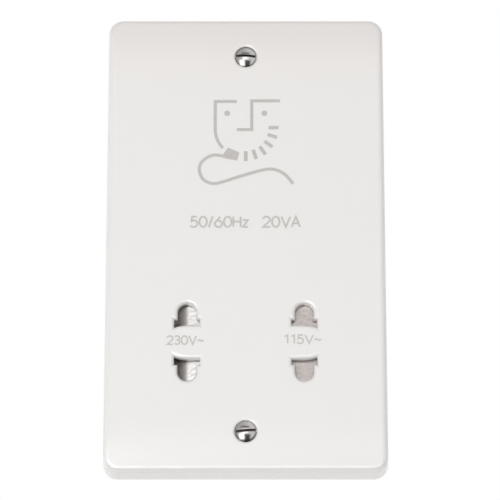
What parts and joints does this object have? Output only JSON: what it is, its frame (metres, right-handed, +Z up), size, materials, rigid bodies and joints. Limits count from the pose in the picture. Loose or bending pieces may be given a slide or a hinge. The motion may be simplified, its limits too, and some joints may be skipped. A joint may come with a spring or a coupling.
{
  "type": "shaver socket",
  "caption": "Wall socket for shavers with two voltages: white front plate, two outlets with round and flat pin holes, see-saw interlock, isolating transformer and rear housing.",
  "frame": {"origin": "midway between the two fixing screws, on the wall plane", "axes": "+X to the right seen from the front, +Y into the wall, +Z up"},
  "size_m": [0.086, 0.0478, 0.146],
  "materials": {
    "white_urea": "smooth glossy thermoset moulding",
    "bright_plate": "bright plated steel",
    "contact_metal": "plated spring strip, finely brushed",
    "carrier_plastic": "satin moulding",
    "rocker_plastic": "satin dark moulding",
    "pin_steel": "ground steel",
    "spring_bronze": "spring bronze strip",
    "zinc_steel": "zinc plated steel",
    "core_steel": "varnished laminations",
    "former_plastic": "satin moulding",
    "winding_wire": "enamelled wire",
    "cutout_plastic": "satin moulding",
    "strap_steel": "zinc plated strip",
    "housing_plastic": "satin moulding",
    "terminal_brass": "turned and drawn brass",
    "brown_sleeve": "soft insulating sleeve",
    "blue_sleeve": "soft insulating sleeve",
    "earth_sleeve": "soft insulating sleeve, striped",
    "black_sleeve": "soft insulating sleeve",
    "red_sleeve": "soft insulating sleeve",
    "yellow_sleeve": "soft insulating sleeve"
  },
  "bodies": {
    "socket": {"front_plate": "white_urea", "fixing_screws": "bright_plate", "contact_230v": "contact_metal", "contact_115v": "contact_metal", "contact_common": "contact_metal", "contact_carrier": "carrier_plastic", "carrier_screws": "zinc_steel", "rocker_pin": "pin_steel", "switch_blade_230v": "spring_bronze", "switch_blade_115v": "spring_bronze", "switch_contact": "spring_bronze", "transformer_core": "core_steel", "bobbin": "former_plastic", "primary_winding": "winding_wire", "secondary_winding": "winding_wire", "thermal_cutout": "cutout_plastic", "core_straps": "strap_steel", "strap_screws": "zinc_steel", "rear_housing": "housing_plastic", "housing_screws": "zinc_steel", "terminal_live": "terminal_brass", "terminal_earth": "terminal_brass", "terminal_neutral": "terminal_brass", "terminal_screws": "terminal_brass", "lead_live": "brown_sleeve", "lead_switched": "brown_sleeve", "lead_cutout": "brown_sleeve", "lead_neutral": "blue_sleeve", "lead_earth": "earth_sleeve", "lead_common": "black_sleeve", "lead_230v": "red_sleeve", "lead_115v": "yellow_sleeve"},
    "rocker": {"interlock_rocker": "rocker_plastic"}
  },
  "joints": [
    {"name": "rocker_tilt", "type": "hinge", "parent": "socket", "child": "rocker", "pos_m": [0, 0.0063, -0.0323], "axis": [0, 0, 1], "range_deg": [-9, 9], "stiffness_Nm_per_rad": 0.1, "deforming": ["switch_blade_230v", "switch_blade_115v"]}
  ]
}
